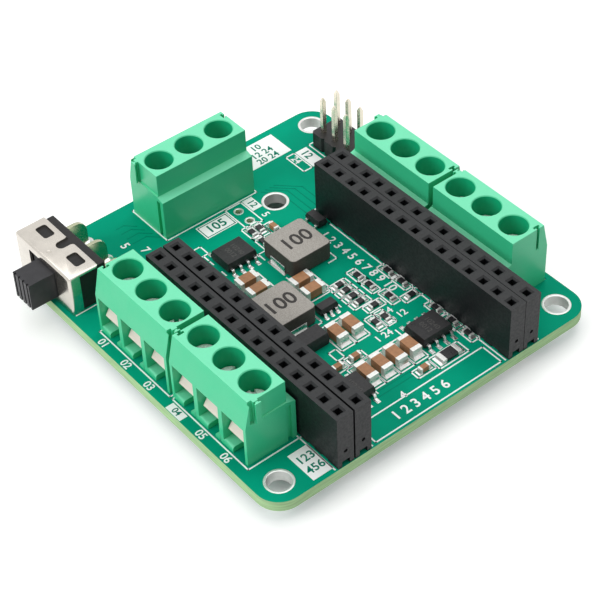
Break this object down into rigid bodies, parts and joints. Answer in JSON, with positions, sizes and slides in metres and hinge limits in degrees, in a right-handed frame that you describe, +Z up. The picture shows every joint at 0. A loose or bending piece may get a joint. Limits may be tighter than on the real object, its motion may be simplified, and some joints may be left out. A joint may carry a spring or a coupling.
{
  "type": "motor driver board",
  "caption": "Square carrier board with screw terminals, paired socket strips for a plug-in controller, a slide power switch, a pin header and power parts.",
  "frame": {"origin": "centre of the front right mounting hole at the board's underside", "axes": "+X along the socket strips towards the right edge, +Y from the front terminals to the back terminals, +Z up out of the component side"},
  "size_m": [0.0567, 0.0559, 0.0136],
  "materials": {
    "board": "satin green solder mask on glass laminate",
    "terminal_plastic": "moulded, satin",
    "black_plastic": "moulded, satin",
    "tinned_metal": "tin plated",
    "gold_plated": "thin gold over brass",
    "screw_steel": "zinc plated",
    "nickel_sheet": "bright nickel plated sheet",
    "inductor_body": "pressed iron powder",
    "chip_resin": "moulded epoxy",
    "capacitor_ceramic": "fired ceramic",
    "resistor_body": "glazed film on ceramic"
  },
  "bodies": {
    "root": {"circuit_board": "board", "terminal_front_left_housing": "terminal_plastic", "terminal_front_left_contacts": "tinned_metal", "terminal_front_right_housing": "terminal_plastic", "terminal_front_right_contacts": "tinned_metal", "terminal_left_housing": "terminal_plastic", "terminal_left_contacts": "tinned_metal", "terminal_back_left_housing": "terminal_plastic", "terminal_back_left_contacts": "tinned_metal", "terminal_back_right_housing": "terminal_plastic", "terminal_back_right_contacts": "tinned_metal", "socket_front_outer_housing": "black_plastic", "socket_front_inner_housing": "black_plastic", "socket_back_inner_housing": "black_plastic", "socket_back_outer_housing": "black_plastic", "socket_contacts": "gold_plated", "pin_header_body": "black_plastic", "pin_header_pins": "gold_plated", "switch_shell": "nickel_sheet", "switch_base": "black_plastic", "switch_legs": "tinned_metal", "power_inductors": "inductor_body", "inductor_tabs": "tinned_metal", "chips": "chip_resin", "chip_leads": "tinned_metal", "capacitors": "capacitor_ceramic", "resistors": "resistor_body"},
    "guard_front_left_1": {"wire_guard_front_left_1": "tinned_metal"},
    "screw_front_left_1": {"clamp_screw_front_left_1": "screw_steel"},
    "guard_front_left_2": {"wire_guard_front_left_2": "tinned_metal"},
    "screw_front_left_2": {"clamp_screw_front_left_2": "screw_steel"},
    "guard_front_left_3": {"wire_guard_front_left_3": "tinned_metal"},
    "screw_front_left_3": {"clamp_screw_front_left_3": "screw_steel"},
    "guard_front_right_1": {"wire_guard_front_right_1": "tinned_metal"},
    "screw_front_right_1": {"clamp_screw_front_right_1": "screw_steel"},
    "guard_front_right_2": {"wire_guard_front_right_2": "tinned_metal"},
    "screw_front_right_2": {"clamp_screw_front_right_2": "screw_steel"},
    "guard_front_right_3": {"wire_guard_front_right_3": "tinned_metal"},
    "screw_front_right_3": {"clamp_screw_front_right_3": "screw_steel"},
    "guard_left_1": {"wire_guard_left_1": "tinned_metal"},
    "screw_left_1": {"clamp_screw_left_1": "screw_steel"},
    "guard_left_2": {"wire_guard_left_2": "tinned_metal"},
    "screw_left_2": {"clamp_screw_left_2": "screw_steel"},
    "guard_left_3": {"wire_guard_left_3": "tinned_metal"},
    "screw_left_3": {"clamp_screw_left_3": "screw_steel"},
    "guard_back_left_1": {"wire_guard_back_left_1": "tinned_metal"},
    "screw_back_left_1": {"clamp_screw_back_left_1": "screw_steel"},
    "guard_back_left_2": {"wire_guard_back_left_2": "tinned_metal"},
    "screw_back_left_2": {"clamp_screw_back_left_2": "screw_steel"},
    "guard_back_left_3": {"wire_guard_back_left_3": "tinned_metal"},
    "screw_back_left_3": {"clamp_screw_back_left_3": "screw_steel"},
    "guard_back_right_1": {"wire_guard_back_right_1": "tinned_metal"},
    "screw_back_right_1": {"clamp_screw_back_right_1": "screw_steel"},
    "guard_back_right_2": {"wire_guard_back_right_2": "tinned_metal"},
    "screw_back_right_2": {"clamp_screw_back_right_2": "screw_steel"},
    "guard_back_right_3": {"wire_guard_back_right_3": "tinned_metal"},
    "screw_back_right_3": {"clamp_screw_back_right_3": "screw_steel"},
    "knob": {"switch_knob": "black_plastic", "switch_wiper": "gold_plated"}
  },
  "joints": [
    {"name": "guard_front_left_1_slide", "type": "slide", "parent": "root", "child": "guard_front_left_1", "axis": [0, 0, -1], "range_m": [0, 0.0014]},
    {"name": "screw_front_left_1_turn", "type": "hinge", "parent": "guard_front_left_1", "child": "screw_front_left_1", "pos_m": [-0.0327, 0.00235, 0.0086], "axis": [0, 0, -1], "range_deg": [0, 1008]},
    {"name": "guard_front_left_2_slide", "type": "slide", "parent": "root", "child": "guard_front_left_2", "axis": [0, 0, -1], "range_m": [0, 0.0014]},
    {"name": "screw_front_left_2_turn", "type": "hinge", "parent": "guard_front_left_2", "child": "screw_front_left_2", "pos_m": [-0.0277, 0.00235, 0.0086], "axis": [0, 0, -1], "range_deg": [0, 1008]},
    {"name": "guard_front_left_3_slide", "type": "slide", "parent": "root", "child": "guard_front_left_3", "axis": [0, 0, -1], "range_m": [0, 0.0014]},
    {"name": "screw_front_left_3_turn", "type": "hinge", "parent": "guard_front_left_3", "child": "screw_front_left_3", "pos_m": [-0.0227, 0.00235, 0.0086], "axis": [0, 0, -1], "range_deg": [0, 1008]},
    {"name": "guard_front_right_1_slide", "type": "slide", "parent": "root", "child": "guard_front_right_1", "axis": [0, 0, -1], "range_m": [0, 0.0014]},
    {"name": "screw_front_right_1_turn", "type": "hinge", "parent": "guard_front_right_1", "child": "screw_front_right_1", "pos_m": [-0.01685, 0.00235, 0.0086], "axis": [0, 0, -1], "range_deg": [0, 1008]},
    {"name": "guard_front_right_2_slide", "type": "slide", "parent": "root", "child": "guard_front_right_2", "axis": [0, 0, -1], "range_m": [0, 0.0014]},
    {"name": "screw_front_right_2_turn", "type": "hinge", "parent": "guard_front_right_2", "child": "screw_front_right_2", "pos_m": [-0.01185, 0.00235, 0.0086], "axis": [0, 0, -1], "range_deg": [0, 1008]},
    {"name": "guard_front_right_3_slide", "type": "slide", "parent": "root", "child": "guard_front_right_3", "axis": [0, 0, -1], "range_m": [0, 0.0014]},
    {"name": "screw_front_right_3_turn", "type": "hinge", "parent": "guard_front_right_3", "child": "screw_front_right_3", "pos_m": [-0.00685, 0.00235, 0.0086], "axis": [0, 0, -1], "range_deg": [0, 1008]},
    {"name": "guard_left_1_slide", "type": "slide", "parent": "root", "child": "guard_left_1", "axis": [0, 0, -1], "range_m": [0, 0.0014]},
    {"name": "screw_left_1_turn", "type": "hinge", "parent": "guard_left_1", "child": "screw_left_1", "pos_m": [-0.04765, 0.028, 0.0086], "axis": [0, 0, -1], "range_deg": [0, 1008]},
    {"name": "guard_left_2_slide", "type": "slide", "parent": "root", "child": "guard_left_2", "axis": [0, 0, -1], "range_m": [0, 0.0014]},
    {"name": "screw_left_2_turn", "type": "hinge", "parent": "guard_left_2", "child": "screw_left_2", "pos_m": [-0.04765, 0.023, 0.0086], "axis": [0, 0, -1], "range_deg": [0, 1008]},
    {"name": "guard_left_3_slide", "type": "slide", "parent": "root", "child": "guard_left_3", "axis": [0, 0, -1], "range_m": [0, 0.0014]},
    {"name": "screw_left_3_turn", "type": "hinge", "parent": "guard_left_3", "child": "screw_left_3", "pos_m": [-0.04765, 0.018, 0.0086], "axis": [0, 0, -1], "range_deg": [0, 1008]},
    {"name": "guard_back_left_1_slide", "type": "slide", "parent": "root", "child": "guard_back_left_1", "axis": [0, 0, -1], "range_m": [0, 0.0014]},
    {"name": "screw_back_left_1_turn", "type": "hinge", "parent": "guard_back_left_1", "child": "screw_back_left_1", "pos_m": [-0.0227, 0.04435, 0.0086], "axis": [0, 0, -1], "range_deg": [0, 1008]},
    {"name": "guard_back_left_2_slide", "type": "slide", "parent": "root", "child": "guard_back_left_2", "axis": [0, 0, -1], "range_m": [0, 0.0014]},
    {"name": "screw_back_left_2_turn", "type": "hinge", "parent": "guard_back_left_2", "child": "screw_back_left_2", "pos_m": [-0.0277, 0.04435, 0.0086], "axis": [0, 0, -1], "range_deg": [0, 1008]},
    {"name": "guard_back_left_3_slide", "type": "slide", "parent": "root", "child": "guard_back_left_3", "axis": [0, 0, -1], "range_m": [0, 0.0014]},
    {"name": "screw_back_left_3_turn", "type": "hinge", "parent": "guard_back_left_3", "child": "screw_back_left_3", "pos_m": [-0.0327, 0.04435, 0.0086], "axis": [0, 0, -1], "range_deg": [0, 1008]},
    {"name": "guard_back_right_1_slide", "type": "slide", "parent": "root", "child": "guard_back_right_1", "axis": [0, 0, -1], "range_m": [0, 0.0014]},
    {"name": "screw_back_right_1_turn", "type": "hinge", "parent": "guard_back_right_1", "child": "screw_back_right_1", "pos_m": [-0.00685, 0.04435, 0.0086], "axis": [0, 0, -1], "range_deg": [0, 1008]},
    {"name": "guard_back_right_2_slide", "type": "slide", "parent": "root", "child": "guard_back_right_2", "axis": [0, 0, -1], "range_m": [0, 0.0014]},
    {"name": "screw_back_right_2_turn", "type": "hinge", "parent": "guard_back_right_2", "child": "screw_back_right_2", "pos_m": [-0.01185, 0.04435, 0.0086], "axis": [0, 0, -1], "range_deg": [0, 1008]},
    {"name": "guard_back_right_3_slide", "type": "slide", "parent": "root", "child": "guard_back_right_3", "axis": [0, 0, -1], "range_m": [0, 0.0014]},
    {"name": "screw_back_right_3_turn", "type": "hinge", "parent": "guard_back_right_3", "child": "screw_back_right_3", "pos_m": [-0.01685, 0.04435, 0.0086], "axis": [0, 0, -1], "range_deg": [0, 1008]},
    {"name": "power_switch_slide", "type": "slide", "parent": "root", "child": "knob", "axis": [1, 0, 0], "range_m": [-0.002, 0]}
  ],
  "couplings": [
    {"joint": "screw_front_left_1_turn", "follows": "guard_front_left_1_slide", "rad_per_m": 12566},
    {"joint": "screw_front_left_2_turn", "follows": "guard_front_left_2_slide", "rad_per_m": 12566},
    {"joint": "screw_front_left_3_turn", "follows": "guard_front_left_3_slide", "rad_per_m": 12566},
    {"joint": "screw_front_right_1_turn", "follows": "guard_front_right_1_slide", "rad_per_m": 12566},
    {"joint": "screw_front_right_2_turn", "follows": "guard_front_right_2_slide", "rad_per_m": 12566},
    {"joint": "screw_front_right_3_turn", "follows": "guard_front_right_3_slide", "rad_per_m": 12566},
    {"joint": "screw_left_1_turn", "follows": "guard_left_1_slide", "rad_per_m": 12566},
    {"joint": "screw_left_2_turn", "follows": "guard_left_2_slide", "rad_per_m": 12566},
    {"joint": "screw_left_3_turn", "follows": "guard_left_3_slide", "rad_per_m": 12566},
    {"joint": "screw_back_left_1_turn", "follows": "guard_back_left_1_slide", "rad_per_m": 12566},
    {"joint": "screw_back_left_2_turn", "follows": "guard_back_left_2_slide", "rad_per_m": 12566},
    {"joint": "screw_back_left_3_turn", "follows": "guard_back_left_3_slide", "rad_per_m": 12566},
    {"joint": "screw_back_right_1_turn", "follows": "guard_back_right_1_slide", "rad_per_m": 12566},
    {"joint": "screw_back_right_2_turn", "follows": "guard_back_right_2_slide", "rad_per_m": 12566},
    {"joint": "screw_back_right_3_turn", "follows": "guard_back_right_3_slide", "rad_per_m": 12566}
  ]
}
